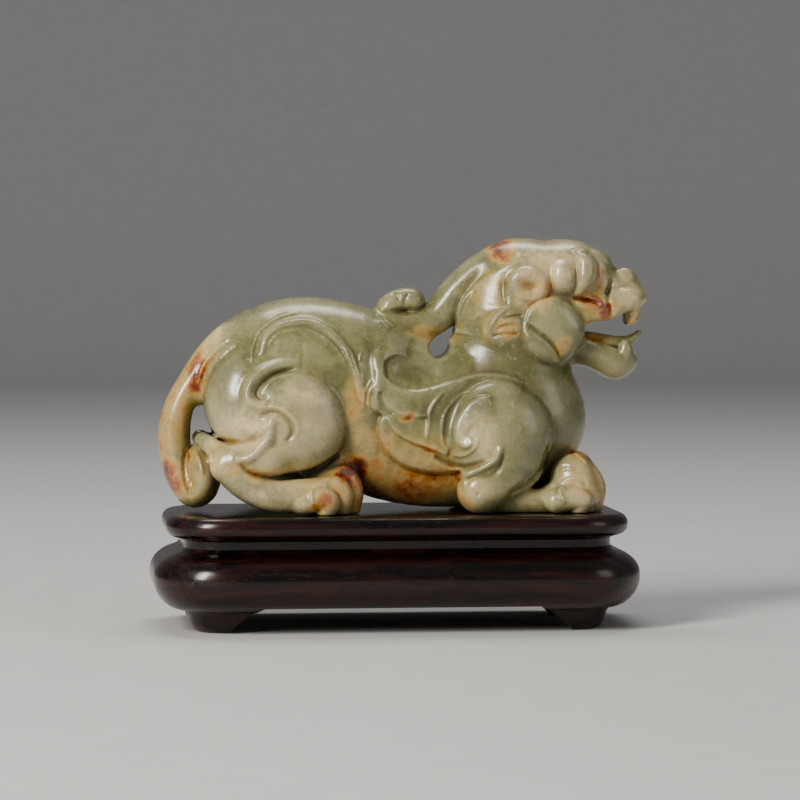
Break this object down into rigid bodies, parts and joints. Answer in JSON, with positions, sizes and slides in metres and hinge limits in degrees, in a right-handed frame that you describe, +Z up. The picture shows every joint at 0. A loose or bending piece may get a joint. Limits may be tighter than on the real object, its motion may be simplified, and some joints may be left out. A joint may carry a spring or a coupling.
{
  "type": "jade mythical beast carving on a wooden stand",
  "caption": "Recumbent horned and winged mythical beast carved in mottled jade, mouth open, resting on a dark hardwood stand with a rounded plate, bulging body and corner feet.",
  "frame": {"origin": "middle of the whole work's outline, on the floor under the stand's feet", "axes": "+Z up, +X along the beast towards its nose, +Y to its left"},
  "size_m": [0.1218, 0.061, 0.0945],
  "materials": {
    "jade": "waxy polish, grey-green stone with cream and russet patches",
    "hardwood": "very dark reddish brown, fine pores, satin polish"
  },
  "bodies": {
    "root": {"beast": "jade", "stand": "hardwood"}
  },
  "joints": []
}
